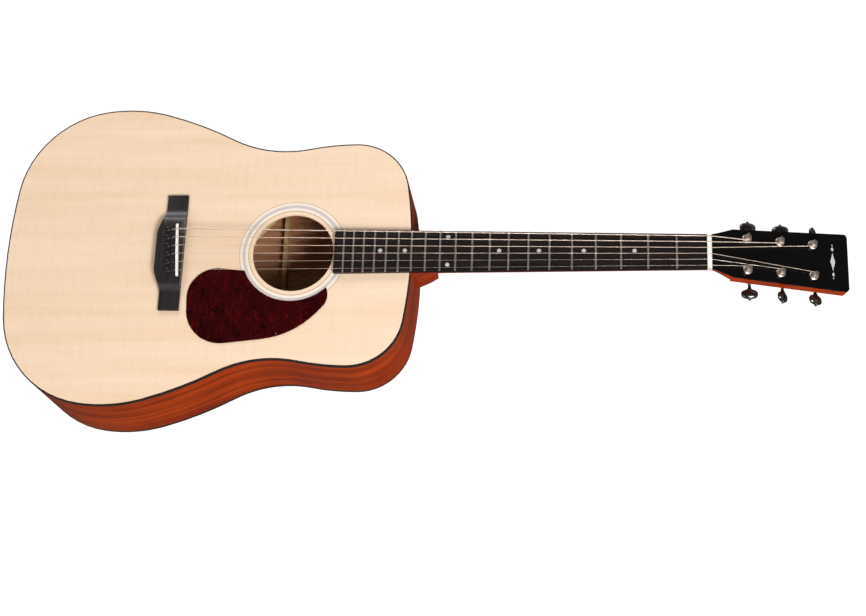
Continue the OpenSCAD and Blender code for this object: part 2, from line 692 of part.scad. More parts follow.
module truss_rod() {
    color(steel) laid() board_frame() translate([0, 0, -board_t - rod_z]) {
        translate([-block_len + 8, 0, 0]) rotate([0, 90, 0])
            cylinder(r = 2.5, h = nut_x + block_len - 24, $fn = 32);
        translate([-10, -rod_half, 2.7]) cube([nut_x - 4, 2 * rod_half, 3]);
        translate([nut_x - 24, -rod_half, -2.5]) cube([8, 2 * rod_half, 5.2]);
        translate([-10, -rod_half, -2.5]) cube([8, 2 * rod_half, 5.2]);
        translate([-block_len - 8, 0, 0]) rotate([0, 90, 0]) cylinder(r = 2, h = 20, $fn = 32);
    }
}
module truss_rod_nut() {
    color(brass) laid() board_frame() translate([-block_len - 16, 0, -board_t - rod_z]) rotate([0, 90, 0])
        difference() {
            cylinder(r = 3.6, h = 22, $fn = 48);
            translate([0, 0, 7]) cylinder(r = 2.05, h = 20, $fn = 32);
            translate([0, 0, -past]) cylinder(r = 2.3, h = 5, $fn = 6);
        }
}

// ---- Tuners, in the head frame ----
plate_back = 1.2;                       // thickness of a tuner's base plate
worm_n = -head_t - plate_back - 4.1;    // height of the worm axis
tooth = 0.8;                            // gear module
pitch = PI * tooth;
gear_r = teeth * tooth / 2;
worm_r = gear_centre - gear_r;
gear_t = 4.8;
post_waist_r = 2.7;
bush_r = 4.3;
lug_y = [-7.6, 7.6];
lug_t = 2;
axle_r = 1.5;
module at_tuners() {
    for (i = [0:5]) translate([post_s(i), post_side(i) * post_y, 0]) children();
}
screw_at = [[-6.5, 5], [15.5, -5]];
screw_r = 0.9;
module tuner_bores() {
    for (i = [0:5]) translate([post_s(i), post_side(i) * post_y, 0]) {
        translate([0, 0, -9]) cylinder(r = bush_r, h = 12, $fn = 48);
        translate([0, 0, -head_t - past]) cylinder(r = post_r + 0.5, h = 12, $fn = 48);
        for (p = screw_at)
            translate([p[0], post_side(i) * p[1], -head_t - past]) cylinder(r = screw_r, h = 9, $fn = 24);
    }
}
module tuner_plates() {
    color(nickel) laid() head_frame() for (i = [0:5]) let (s = post_side(i))
        translate([post_s(i), s * post_y, 0]) difference() {
            union() {
                translate([4.5, 0, -head_t - plate_back]) linear_extrude(plate_back) plate_plan();
                for (y = lug_y) translate([gear_centre - 3.2, s * y - lug_t / 2, worm_n - 3.2])
                    cube([6.4, lug_t, -worm_n - head_t + 2.7]);
            }
            translate([0, 0, -head_t - 3]) cylinder(r = post_r + gap, h = 5, $fn = 48);
            translate([gear_centre, 0, worm_n]) rotate([90, 0, 0])
                cylinder(r = axle_r + gap, h = 40, center = true, $fn = 48);
            for (p = screw_at) translate([p[0], s * p[1], -head_t - 3])
                cylinder(r = screw_r, h = 5, $fn = 24);
        }
}
module plate_plan() {
    square([22, 20], center = true);
    for (s = [-1, 1]) translate([s * 11, 0]) square([8, 14], center = true);
}
module tuner_bushings() {
    color(nickel) laid() head_frame() at_tuners() rotate_extrude($fn = 64)
        polygon([[post_r + gap, -8], [bush_r, -8], [bush_r, 0], [5.6, 0], [5.6, 0.7], [4.9, 1.3],
            [3.9, 1.6], [post_r + gap, 1.6]]);
}
module tuner_screws() {
    color(nickel) laid() head_frame() for (i = [0:5], p = screw_at)
        translate([post_s(i) + p[0], post_side(i) * (post_y + p[1]), -head_t - plate_back]) difference() {
            union() {
                cylinder(r = screw_r, h = 8.5, $fn = 24);
                translate([0, 0, -1.1]) cylinder(r1 = 1.3, r2 = 1.9, h = 1.1, $fn = 32);
            }
            translate([-3, -0.25, -2]) cube([6, 0.5, 1.4]);
        }
}
module tuner_post(i) {
    low = -head_t - plate_back;
    color(nickel) laid() head_frame() translate([post_s(i), post_side(i) * post_y, 0]) difference() {
        rotate_extrude($fn = 64) polygon([[0, worm_n - gear_t / 2], [2.4, worm_n - gear_t / 2],
            [2.4, worm_n + gear_t / 2], [4, worm_n + gear_t / 2], [4, low - gap], [post_r, low - gap],
            [post_r, 3.4], [post_waist_r, 4.2], [post_waist_r, 7], [post_r, 7.8], [post_r, 9],
            [post_r - 0.5, 9.6], [0, 9.6]]);
        translate([0, 0, wrap_n + 1.2]) rotate([90, 0, 0]) cylinder(r = 0.8, h = 10, center = true, $fn = 24);
    }
}
module tuner_gear(i) {
    root = gear_r - 1.25 * tooth;
    tip = gear_r + tooth;
    step = 360 / teeth;
    color(brass) laid() head_frame() translate([post_s(i), post_side(i) * post_y, worm_n - gear_t / 2]) {
        difference() {
            linear_extrude(gear_t) polygon([for (k = [0:teeth - 1], p = [[root, -0.27], [gear_r, -0.2],
                [tip, -0.1], [tip, 0.1], [gear_r, 0.2], [root, 0.27]])
                    let (a = (k + 0.5 + p[1]) * step) p[0] * [cos(a), sin(a)]]);
            translate([0, 0, -past]) cylinder(r = 2.4, h = gear_t + 2 * past, $fn = 48);
        }
        translate([0, 0, -1.4]) difference() {
            cylinder(r = 3.2, h = 1.4, $fn = 48);
            translate([-4, -0.4, -past]) cube([8, 0.8, past + 0.7]);
        }
    }
}
// A worm thread along Y with its crest facing the gear at y = 0
module worm_thread(root, crest, phase) {
    n = 24;
    turns = 3;
    steps = n * turns;
    rows = [for (k = [0:steps]) let (a = 360 * k / n, y = pitch * (k / n - turns / 2),
        fade = max(0.05, min(1, k / 6, (steps - k) / 6)), c = root - 0.2 + (crest - root + 0.2) * fade)
        [for (p = [[root - 0.2, -0.5], [c, -0.2], [c, 0.2], [root - 0.2, 0.5]])
            [p[0] * cos(a + phase), y + p[1], -p[0] * sin(a + phase)]]];
    points = [for (r = rows) each r];
    polyhedron(points, concat([[3, 2, 1, 0]],
        [for (k = [0:steps - 1], j = [0:3]) each let (a = 4 * k + j, b = 4 * k + (j + 1) % 4)
            [[a, b, a + 4], [b, b + 4, a + 4]]],
        [[for (j = [0:3]) 4 * steps + j]]), convexity = 10);
}
key_turns = [12, -42, -26, 56, -12, 0];   // rest turn of each button, chosen one by one
button_at = 23.3;      // middle of the button from the post's axis
module tuner_key(i) {
    side = post_side(i);
    color(nickel) laid() head_frame() translate([post_s(i) + gear_centre, side * post_y, worm_n])
        rotate([0, 0, side > 0 ? 0 : 180]) {
            worm_thread(worm_r - 1.1, worm_r + tooth - 0.1, side > 0 ? 0 : 180);
            rotate([-90, 0, 0]) {
                translate([0, 0, -6.5]) cylinder(r = worm_r - 1.1, h = 13, $fn = 48);
                translate([0, 0, -9.4]) cylinder(r = axle_r, h = 18.8, $fn = 48);
                translate([0, 0, 8.7]) rotate_extrude($fn = 48) polygon([
                    [0, 0], [2.2, 0], [2.2, 1.5], [1.7, 2.5], [1.7, 4.3], [2.2, 6.6], [3.4, 9.3], [0, 11.3]]);
            }
            rotate([0, key_turns[i], 0]) translate([0, button_at, 0]) button();
        }
}
// An oval button 20.5 long, 12.5 deep and 8 thick, with a small tip
module button() {
    n = 32;
    rows = 9;
    function row_r(t) = pow(max(0, 1 - pow(abs(t), 2.6)), 0.42);
    levels = [for (k = [1:rows]) sin(-90 + 180 * k / (rows + 1))];
    points = concat([[0, -5.6, 0]], [for (t = levels) for (j = [0:n - 1]) let (a = 360 * j / n, f = row_r(t))
        [10.2 * f * cos(a), 6.2 * t, 3.9 * f * sin(a)]], [[0, 6.2, 0]]);
    last = 1 + rows * n;
    polyhedron(points, concat([for (j = [0:n - 1]) [0, 1 + (j + 1) % n, 1 + j]],
        [for (k = [0:rows - 2], j = [0:n - 1]) each let (a = 1 + k * n + j, b = 1 + k * n + (j + 1) % n)
            [[a, b, a + n], [b, b + n, a + n]]],
        [for (j = [0:n - 1]) [last, last - n + j, last - n + (j + 1) % n]]), convexity = 2);
    translate([0, 5.6, 0]) rotate([-90, 0, 0]) cylinder(r1 = 2.2, r2 = 1.3, h = 2.4, $fn = 32);
}
module tuner_post_1() { tuner_post(0); }
module tuner_post_2() { tuner_post(1); }
module tuner_post_3() { tuner_post(2); }
module tuner_post_4() { tuner_post(3); }
module tuner_post_5() { tuner_post(4); }
module tuner_post_6() { tuner_post(5); }
module tuner_gear_1() { tuner_gear(0); }
module tuner_gear_2() { tuner_gear(1); }
module tuner_gear_3() { tuner_gear(2); }
module tuner_gear_4() { tuner_gear(3); }
module tuner_gear_5() { tuner_gear(4); }
module tuner_gear_6() { tuner_gear(5); }
module tuner_key_1() { tuner_key(0); }
module tuner_key_2() { tuner_key(1); }
module tuner_key_3() { tuner_key(2); }
module tuner_key_4() { tuner_key(3); }
module tuner_key_5() { tuner_key(4); }
module tuner_key_6() { tuner_key(5); }

soundboard();
rosette();
back_plate();
side_bass();
side_treble();
edge_bindings();
linings();
neck_block();
tail_block();
end_wedge();
end_pin();
x_brace_lower();
x_brace_upper();
transverse_brace();
soundhole_braces();
tone_bars();
finger_braces();
bridge_plate();
back_braces();
back_strips();
bridge();
saddle();
bridge_pins();
pickguard();
neck();
heel_cap();
fretboard();
frets();
position_dots();
nut();
head_veneer();
truss_rod();
truss_rod_nut();
tuner_plates();
tuner_bushings();
tuner_screws();
string_1();
string_2();
string_3();
string_4();
string_5();
string_6();
tuner_post_1();
tuner_post_2();
tuner_post_3();
tuner_post_4();
tuner_post_5();
tuner_post_6();
tuner_gear_1();
tuner_gear_2();
tuner_gear_3();
tuner_gear_4();
tuner_gear_5();
tuner_gear_6();
tuner_key_1();
tuner_key_2();
tuner_key_3();
tuner_key_4();
tuner_key_5();
tuner_key_6();
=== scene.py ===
"""Looks for the acoustic guitar: materials, fine pieces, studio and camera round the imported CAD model.

Everything is in metres in the row frame: X towards the headstock, Y to the bass side, Z up.
"""
import json
import math

import bmesh
import bpy
from mathutils import Matrix, Quaternion, Vector


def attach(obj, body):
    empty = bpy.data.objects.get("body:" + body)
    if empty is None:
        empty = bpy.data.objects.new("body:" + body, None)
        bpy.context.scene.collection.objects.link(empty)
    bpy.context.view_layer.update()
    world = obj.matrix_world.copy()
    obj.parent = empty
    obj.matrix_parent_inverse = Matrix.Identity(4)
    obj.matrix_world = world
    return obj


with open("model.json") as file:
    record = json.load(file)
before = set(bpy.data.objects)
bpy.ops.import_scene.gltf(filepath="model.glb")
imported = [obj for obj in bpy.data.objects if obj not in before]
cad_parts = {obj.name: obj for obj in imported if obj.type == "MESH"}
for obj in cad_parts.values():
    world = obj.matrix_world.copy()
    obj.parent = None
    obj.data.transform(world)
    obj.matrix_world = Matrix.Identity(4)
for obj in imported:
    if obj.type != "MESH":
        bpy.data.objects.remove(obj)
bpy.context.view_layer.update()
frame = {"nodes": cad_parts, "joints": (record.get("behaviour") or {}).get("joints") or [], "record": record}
nodes = frame["nodes"]
record = frame["record"]
joints = {j["name"]: j for j in frame["joints"]}
mounts = {m["name"]: m for m in record["mounts"]}
MM = 0.001


# ---- Frames taken from the record ----
def frame_at(origin, up):
    """A frame in millimetres with X towards the head, Y to the bass side and Z along up."""
    up = Vector(up).normalized()
    along = Vector((up.z, 0, -up.x)).normalized()
    matrix = Matrix((along, Vector((0, 1, 0)), up)).transposed().to_4x4() @ Matrix.Scale(MM, 4)
    matrix.translation = Vector(origin)
    return matrix


TOP = frame_at(mounts["soundhole"]["pos_m"], mounts["soundhole"]["axis"])
first_post = joints["post_1_turn"]
HEAD = frame_at(Vector(first_post["pos_m"]) * Vector((1, 0, 1)), first_post["axis"])
rod = joints["truss_rod_nut_turn"]["axis"]
BOARD = frame_at((0, 0, 0), (-rod[2], 0, rod[0]))


# ---- Node graphs ----
def rgb(red, green, blue):
    """A linear colour from the usual 0 to 255 values."""
    def channel(value):
        value /= 255
        return value / 12.92 if value <= 0.04045 else ((value + 0.055) / 1.055) ** 2.4
    return channel(red), channel(green), channel(blue), 1


class Shader:
    """A material with short calls to add and join nodes. Each call gives the new node's first output."""

    def __init__(self, name, **principled):
        self.material = bpy.data.materials.new(name)
        self.material.use_nodes = True
        self.tree = self.material.node_tree
        self.bsdf = self.tree.nodes["Principled BSDF"]
        self.set(**principled)

    def join(self, socket, value):
        if isinstance(value, bpy.types.NodeSocket):
            self.tree.links.new(value, socket)
        elif socket.type == "RGBA" and len(value) == 3:
            socket.default_value = (*value, 1)
        else:
            socket.default_value = value

    def set(self, **values):
        for key, value in values.items():
            self.join(self.bsdf.inputs[key.replace("_", " ")], value)

    def node(self, kind, inputs, out=0, **settings):
        made = self.tree.nodes.new("ShaderNode" + kind)
        for key, value in settings.items():
            setattr(made, key, value)
        for key, value in inputs.items():
            self.join(made.inputs[key], value)
        return made.outputs[out]

    def place(self, where=TOP):
        """Object coordinates in the millimetres of one of the frames."""
        here = self.tree.nodes.new("ShaderNodeTexCoord").outputs["Object"]
        location, turn, size = where.decompose()
        return self.node("Mapping", {"Vector": here, "Location": location,
                                     "Rotation": turn.to_euler(), "Scale": size}, vector_type="TEXTURE")

    def math(self, operation, a, b=0.0):
        return self.node("Math", {0: a, 1: b}, operation=operation)

    def split(self, vector):
        made = self.tree.nodes.new("ShaderNodeSeparateXYZ")
        self.tree.links.new(vector, made.inputs[0])
        return made.outputs

    def fold(self, vector):
        """The two halves of a bookmatched plate mirror each other across Y = 0."""
        x, y, z = self.split(vector)
        return self.node("CombineXYZ", {0: x, 1: self.math("ABSOLUTE", y), 2: z})

    def noise(self, vector, stretch, detail=2.0, rough=0.5, distort=0.0, scale=1.0):
        moved = self.node("VectorMath", {0: vector, 1: stretch}, operation="MULTIPLY")
        return self.node("TexNoise", {"Vector": moved, "Scale": scale, "Detail": detail,
                                      "Roughness": rough, "Distortion": distort})

    def ramp(self, value, *stops, mode="LINEAR"):
        made = self.tree.nodes.new("ShaderNodeValToRGB")
        made.color_ramp.interpolation = mode
        points = made.color_ramp.elements
        while len(points) < len(stops):
            points.new(0.5)
        for point, (at, colour) in zip(points, stops):
            point.position = at
            point.color = colour if hasattr(colour, "__len__") else (colour, colour, colour, 1)
        self.tree.links.new(value, made.inputs[0])
        return made.outputs[0]

    def mix(self, share, a, b, blend="MIX"):
        made = self.tree.nodes.new("ShaderNodeMix")
        made.data_type, made.blend_type = "RGBA", blend
        for index, value in ((0, share), (6, a), (7, b)):
            self.join(made.inputs[index], value)
        return made.outputs[2]

    def bump(self, height, depth, strength=1.0):
        """Relief from a 0 to 1 height, depth millimetres deep."""
        self.set(Normal=self.node("Bump", {"Height": height, "Distance": depth * MM, "Strength": strength}))


# ---- Materials ----
def spruce():
    """A pale bookmatched soundboard: annual rings, fine grain and a faint silk across it."""
    s = Shader("spruce_top", Coat_Weight=0.25, Coat_Roughness=0.22, Specular_IOR_Level=0.35)
    at = s.fold(s.place())
    broad = s.noise(at, (0.0016, 0.028, 0.02), 3, 0.6)
    tone = s.ramp(broad, (0.25, rgb(238, 204, 168)), (0.5, rgb(246, 216, 186)), (0.75, rgb(251, 226, 201)))
    wander = s.node("VectorMath", {0: at, 1: (0, 1, 0), 2: (0, 0, 0)}, operation="MULTIPLY")
    rings = s.noise(wander, (0, 0.75, 0), 3, 0.65)
    fine = s.noise(at, (0.006, 2.1, 0.4), 2, 0.6)
    late = s.ramp(rings, (0.42, 1.0), (0.62, 0.945))
    tone = s.mix(1.0, tone, late, "MULTIPLY")
    tone = s.mix(1.0, tone, s.ramp(fine, (0.4, 1.0), (0.7, 0.97)), "MULTIPLY")
    silk = s.noise(at, (0.16, 0.035, 0.05), 2, 0.5, 0.6)
    tone = s.mix(1.0, tone, s.ramp(silk, (0.45, 1.0), (0.75, 0.965)), "MULTIPLY")
    s.set(Base_Color=tone, Roughness=s.ramp(fine, (0.3, 0.36), (0.7, 0.46)))
    s.bump(s.mix(0.5, rings, fine), 0.03, 0.35)
    return s.material


def mahogany(name, where, along, back=False, light=(186, 64, 4), dark=(92, 24, 4)):
    """Straight-grained wood under a warm lacquer. along is the grain's direction in that frame.

    The back is bookmatched, and bare on the side that faces up into the soundbox."""
    s = Shader(name, Coat_Weight=0.05, Coat_Roughness=0.15, Specular_IOR_Level=0.1)
    at = s.place(where)
    if back:
        at = s.fold(at)
    def grain(long, across, *rest, **more):
        return s.noise(at, [long if a else across for a in along], *rest, **more)
    broad = grain(0.0035, 0.045, 3, 0.55, 0.4)
    streak = grain(0.004, 0.30, 4, 0.6, 0.3)
    pores = grain(0.09, 2.6, 2, 0.5)
    # Painted sheen: a stretched noise that lightens the wood in patches, standing in for the lacquer's
    # shimmer.
    painted_sheen = grain(0.022, 0.012, 2, 0.5)
    middle = tuple((a + b) / 2 for a, b in zip(light, dark))
    tone = s.ramp(broad, (0.3, rgb(*middle)), (0.62, rgb(*light)))
    tone = s.mix(s.ramp(streak, (0.46, 0.0), (0.70, 0.85)), tone, rgb(*dark))
    tone = s.mix(s.ramp(pores, (0.60, 0.0), (0.72, 0.55)), tone, rgb(*(c * 0.45 for c in dark)))
    # The painted sheen is screened over the wood in the light colour.
    tone = s.mix(s.ramp(painted_sheen, (0.35, 0.0), (0.7, 0.22)), tone, rgb(*light), "SCREEN")
    if back:
        facing_up = s.split(s.node("TexCoord", {}, 1))[2]
        bare = s.ramp(streak, (0.4, rgb(206, 150, 110)), (0.7, rgb(168, 112, 78)))
        tone = s.mix(s.ramp(facing_up, (0.4, 0.0), (0.6, 1.0)), tone, bare)
    s.set(Base_Color=tone, Roughness=s.ramp(streak, (0.3, 0.30), (0.7, 0.42)))
    s.bump(s.mix(0.6, pores, streak), 0.04, 0.3)
    return s.material


def pale_wood():
    """Bare wood of the braces, linings, bridge plate and back strips."""
    s = Shader("brace_wood", Specular_IOR_Level=0.2)
    at = s.place()
    rings = s.noise(at, (0.03, 0.5, 0.5), 3, 0.6)
    broad = s.noise(at, (0.01, 0.02, 0.05), 2, 0.5)
    tone = s.ramp(rings, (0.35, rgb(222, 190, 140)), (0.65, rgb(188, 148, 98)))
    tone = s.mix(s.ramp(broad, (0.4, 0.0), (0.7, 0.3)), tone, rgb(170, 126, 80))
    s.set(Base_Color=tone, Roughness=s.ramp(rings, (0.3, 0.62), (0.7, 0.75)))
    s.bump(rings, 0.06, 0.5)
    return s.material


def dark_wood(name, where, along, tint, streaks, rough=0.42, shine=0.25):
    """Near-black wood with open pores. along is the grain's direction in that frame."""
    s = Shader(name, Specular_IOR_Level=shine)
    at = s.place(where)
    streak = s.noise(at, [0.006 if a else 0.32 for a in along], 4, 0.6, 0.3)
    pores = s.noise(at, [0.12 if a else 2.8 for a in along], 2, 0.5)
    tone = s.ramp(streak, (0.38, rgb(*tint)), (0.68, rgb(*streaks)))
    tone = s.mix(s.ramp(pores, (0.58, 0.0), (0.7, 0.7)), tone, rgb(8, 6, 6))
    s.set(Base_Color=tone, Roughness=s.ramp(pores, (0.4, rough), (0.7, rough + 0.15)))
    s.bump(pores, -0.03, 0.35)
    return s.material


def gloss_black():
    """The headstock's lacquered face."""
    s = Shader("head_overlay", Coat_Weight=0.4, Coat_Roughness=0.05, Specular_IOR_Level=0.25)
    at = s.place(HEAD)
    streak = s.noise(at, (0.02, 0.5, 0.1), 3, 0.55)
    peel = s.noise(at, (0.25, 0.25, 0.25), 2, 0.5)
    s.set(Base_Color=s.ramp(streak, (0.35, rgb(3, 2, 3)), (0.7, rgb(10, 8, 7))),
          Roughness=s.ramp(peel, (0.3, 0.16), (0.7, 0.24)))
    s.bump(peel, 0.02, 0.25)
    return s.material


def black_plastic(name="black_plastic", tint=(20, 17, 17), rough=0.25):
    """Moulded black plastic, slightly clouded."""
    s = Shader(name, Specular_IOR_Level=0.4)
    at = s.place()
    cloud = s.noise(at, (0.3, 0.3, 0.3), 3, 0.6)
    s.set(Base_Color=s.ramp(cloud, (0.3, rgb(*tint)), (0.75, rgb(*(c * 1.6 for c in tint)))),
          Roughness=s.ramp(cloud, (0.3, rough), (0.7, rough + 0.12)))
    s.bump(cloud, 0.02, 0.3)
    return s.material


def rosette():
    """Rings by radius: cream rings and thin grey lines, with a greyish pearl band between them."""
    s = Shader("rosette_inlay", Coat_Weight=0.3, Coat_Roughness=0.2)
    at = s.place()
    flat = s.node("VectorMath", {0: at, 1: (1, 1, 0)}, operation="MULTIPLY")
    radius = s.node("VectorMath", {0: flat}, 1, operation="LENGTH")
    inner, outer = 55.0, 69.0
    pearl_inner, pearl_outer = 60.2, 63.6
    share = s.node("MapRange", {"Value": radius, "From Min": inner, "From Max": outer})
    def stop(mm, colour):
        return (mm - inner) / (outer - inner), colour
    cream, line, edge = rgb(246, 232, 218), rgb(158, 146, 132), rgb(176, 168, 160)
    rings = s.ramp(share, stop(55.0, line), stop(55.6, rgb(206, 188, 160)), stop(56.2, line),
                   stop(57.0, cream), stop(60.0, edge), stop(pearl_inner, rgb(206, 194, 188)),
                   stop(pearl_outer, edge), stop(63.8, cream), stop(66.8, rgb(196, 180, 160)),
                   mode="CONSTANT")
    shell = s.noise(at, (0.35, 0.35, 0.35), 4, 0.7, 1.2)
    tint = s.ramp(shell, (0.35, rgb(194, 182, 184)), (0.5, rgb(212, 202, 196)), (0.65, rgb(200, 190, 190)))
    inside = s.math("MULTIPLY", s.math("GREATER_THAN", radius, pearl_inner),
                    s.math("LESS_THAN", radius, pearl_outer))
    s.set(Base_Color=s.mix(s.math("MULTIPLY", inside, 0.8), rings, tint),
          Roughness=s.ramp(shell, (0.3, 0.28), (0.7, 0.42)))
    s.bump(shell, 0.02, 0.3)
    return s.material


def tortoise():
    """Dark red celluloid with soft darker and redder clouds and a few faint flakes."""
    s = Shader("tortoise", Coat_Weight=0.2, Coat_Roughness=0.05, Specular_IOR_Level=0.2)
    at = s.place()
    cloud = s.noise(at, (0.045, 0.045, 0.045), 4, 0.6, 0.8)
    veins = s.noise(at, (0.22, 0.07, 0.1), 4, 0.65, 1.5)
    tone = s.ramp(cloud, (0.35, rgb(26, 0, 1)), (0.55, rgb(50, 1, 3)), (0.75, rgb(30, 0, 3)))
    tone = s.mix(s.ramp(veins, (0.52, 0.0), (0.72, 0.6)), tone, rgb(104, 10, 10))
    bent = s.node("VectorMath", {0: at, 1: s.node("VectorMath", {0: s.node("TexNoise", {
        "Vector": at, "Scale": 0.35}, 1), 1: (4.5, 4.5, 4.5)}, operation="MULTIPLY")}, operation="ADD")
    def flakes(stretch, size, colour, base, low, high, seed):
        moved = s.node("VectorMath", {0: bent, 1: (seed, seed * 2, 0)}, operation="ADD")
        drawn = s.node("VectorMath", {0: moved, 1: stretch}, operation="MULTIPLY")
        near = s.node("TexVoronoi", {"Vector": drawn, "Scale": 1.0, "Randomness": 1.0}, distance="MINKOWSKI")
        spot = s.ramp(near, (size * 0.6, 1.0), (size, 0.0))
        where = s.ramp(s.noise(moved, (0.03, 0.03, 0.03), 2, 0.5), (low, 0.0), (high, 1.0))
        return s.mix(s.math("MULTIPLY", spot, where), base, colour)
    tone = flakes((0.20, 0.12, 0.1), 0.34, rgb(108, 8, 12), tone, 0.46, 0.60, 0)
    tone = flakes((0.15, 0.10, 0.1), 0.28, rgb(178, 36, 34), tone, 0.54, 0.62, 7)
    tone = flakes((0.13, 0.10, 0.1), 0.24, rgb(240, 146, 124), tone, 0.56, 0.61, 19)
    s.set(Base_Color=tone, Roughness=s.ramp(cloud, (0.3, 0.14), (0.7, 0.2)))
    s.bump(cloud, 0.03, 0.2)
    return s.material


def pale(name, tint, shade, scale, rough):
    """Bone or pearl: a pale, slightly clouded polished surface."""
    s = Shader(name, Coat_Weight=0.2, Coat_Roughness=0.15, Subsurface_Weight=0.08,
               Subsurface_Radius=(0.002, 0.0015, 0.001))
    at = s.place()
    cloud = s.noise(at, (scale, scale, scale), 3, 0.6, 0.6)
    s.set(Base_Color=s.ramp(cloud, (0.35, rgb(*tint)), (0.7, rgb(*shade))),
          Roughness=s.ramp(cloud, (0.3, rough), (0.7, rough + 0.12)))
    s.bump(cloud, 0.02, 0.25)
    return s.material


def metal(name, tint, shade, rough):
    """Plain or plated metal with slightly uneven polish."""
    s = Shader(name, Metallic=1.0)
    at = s.place()
    cloud = s.noise(at, (0.6, 0.6, 0.6), 4, 0.65)
    s.set(Base_Color=s.ramp(cloud, (0.35, rgb(*tint)), (0.7, rgb(*shade))),
          Roughness=s.ramp(cloud, (0.3, rough), (0.7, rough + 0.14)))
    s.bump(cloud, 0.01, 0.3)
    return s.material


def wound(name, tint, shade):
    """Wire with a finer wire wound round it, with painted shade in the grooves between the turns."""
    s = Shader(name, Metallic=0.85)
    at = s.place(BOARD)
    turns = s.node("TexWave", {"Vector": at, "Scale": 0.95, "Distortion": 0.0}, 1,
                   bands_direction="X", wave_profile="SIN")
    cloud = s.noise(at, (0.05, 0.5, 0.5), 2, 0.5)
    tone = s.ramp(cloud, (0.35, rgb(*tint)), (0.7, rgb(*shade)))
    # Painted shade: the troughs of the winding wave are darkened towards a brown grey.
    s.set(Base_Color=s.mix(s.ramp(turns, (0.0, 0.35), (0.4, 0.0)), tone, rgb(136, 110, 90)),
          Roughness=s.ramp(cloud, (0.3, 0.3), (0.7, 0.42)))
    s.bump(turns, 0.05, 0.6)
    return s.material


LENGTHWISE = (1, 0, 0)
ROUND_RIM = (1, 1, 0)
slots = {
    "spruce_top": spruce(),
    "mahogany": mahogany("mahogany", TOP, LENGTHWISE),
    "brace_wood": pale_wood(),
    "ebony": dark_wood("ebony", BOARD, LENGTHWISE, (13, 8, 8), (34, 20, 17)),
    "head_overlay": gloss_black(),
    "black_plastic": black_plastic(),
    "binding": black_plastic("binding", (30, 21, 18), 0.3),
    "rosette_inlay": rosette(),
    "bone": pale("bone", (250, 248, 242), (238, 232, 218), 0.25, 0.3),
    "pearl_dot": pale("pearl_dot", (208, 207, 204), (170, 170, 174), 0.5, 0.2),
    "tortoise": tortoise(),
    "fret_wire": metal("fret_wire", (226, 222, 216), (196, 190, 182), 0.28),
    "rod_steel": metal("rod_steel", (150, 150, 152), (112, 110, 110), 0.4),
    "rod_brass": metal("rod_brass", (205, 168, 96), (168, 130, 70), 0.35),
    "nickel": metal("nickel", (216, 202, 192), (182, 168, 158), 0.28),
    "gear_brass": metal("gear_brass", (206, 170, 98), (164, 126, 66), 0.3),
    "plain_string": metal("plain_string", (240, 226, 212), (216, 200, 186), 0.25),
    "wound_string": wound("wound_string", (236, 216, 198), (212, 186, 166)),
}
special = {
    "back_plate": mahogany("mahogany_back", TOP, LENGTHWISE, back=True),
    "side_bass": mahogany("mahogany_rim", TOP, ROUND_RIM),
    "neck": mahogany("mahogany_neck", BOARD, LENGTHWISE, light=(188, 62, 12), dark=(100, 28, 6)),
    "bridge": dark_wood("ebony_bridge", TOP, (0, 1, 0), (26, 22, 23), (48, 40, 40), 0.34, 0.5),
}
special["side_treble"] = special["side_bass"]
# The keys' nickel is a darker copy of the nickel: painted shade standing in for the dark surroundings that
# polished keys reflect.
painted_dark_key_nickel = metal("nickel_keys_painted_dark", (116, 110, 106), (84, 80, 77), 0.15)
for number in range(1, 7):
    special[f"tuner_key_{number}"] = painted_dark_key_nickel


# ---- Carried-over CAD nodes: material and smooth shading ----
def soften_group():
    """Geometry nodes that weld a CAD mesh and shade its gentle edges smooth."""
    weld_distance, sharpest_smooth = 0.004 * MM, math.radians(32)
    group = bpy.data.node_groups.new("soften", "GeometryNodeTree")
    group.interface.new_socket("Geometry", in_out="INPUT", socket_type="NodeSocketGeometry")
    group.interface.new_socket("Geometry", in_out="OUTPUT", socket_type="NodeSocketGeometry")
    new = group.nodes.new
    start, end = new("NodeGroupInput"), new("NodeGroupOutput")
    plain = new("GeometryNodeRemoveAttribute")
    plain.inputs["Name"].default_value = "custom_normal"
    weld = new("GeometryNodeMergeByDistance")
    weld.inputs["Distance"].default_value = weld_distance
    faces = new("GeometryNodeSetShadeSmooth")
    angle = new("GeometryNodeInputMeshEdgeAngle")
    gentle = new("FunctionNodeCompare")
    gentle.data_type, gentle.operation = "FLOAT", "LESS_THAN"
    gentle.inputs[1].default_value = sharpest_smooth
    edges = new("GeometryNodeSetShadeSmooth")
    edges.domain = "EDGE"
    chain = [start, plain, weld, faces, edges, end]
    for a, b in zip(chain, chain[1:]):
        group.links.new(a.outputs[0], b.inputs[0])
    group.links.new(angle.outputs[0], gentle.inputs[0])
    group.links.new(gentle.outputs[0], edges.inputs["Shade Smooth"])
    return group


soften = soften_group()
for part in record["subparts"]:
    node = nodes[part["node"]]
    node.data.materials.clear()
    node.data.materials.append(special.get(part["node"]) or slots[part["material_slot"]])
    node.modifiers.new("soften", "NODES").node_group = soften


# ---- Strings on their posts ----
GAUGES = (0.32, 0.42, 0.62, 0.82, 1.08, 1.36)   # string diameters in millimetres, thinnest first
POST_WAIST = 2.7
POST_HOLE = 6.4                                 # height of each post's hole above the face
STEPS = 20                                      # points in each turn
CLEARANCE = 0.05                                # between a turn and the post's waist
CUT_END = 1.6                                   # how far a string sticks out of its hole


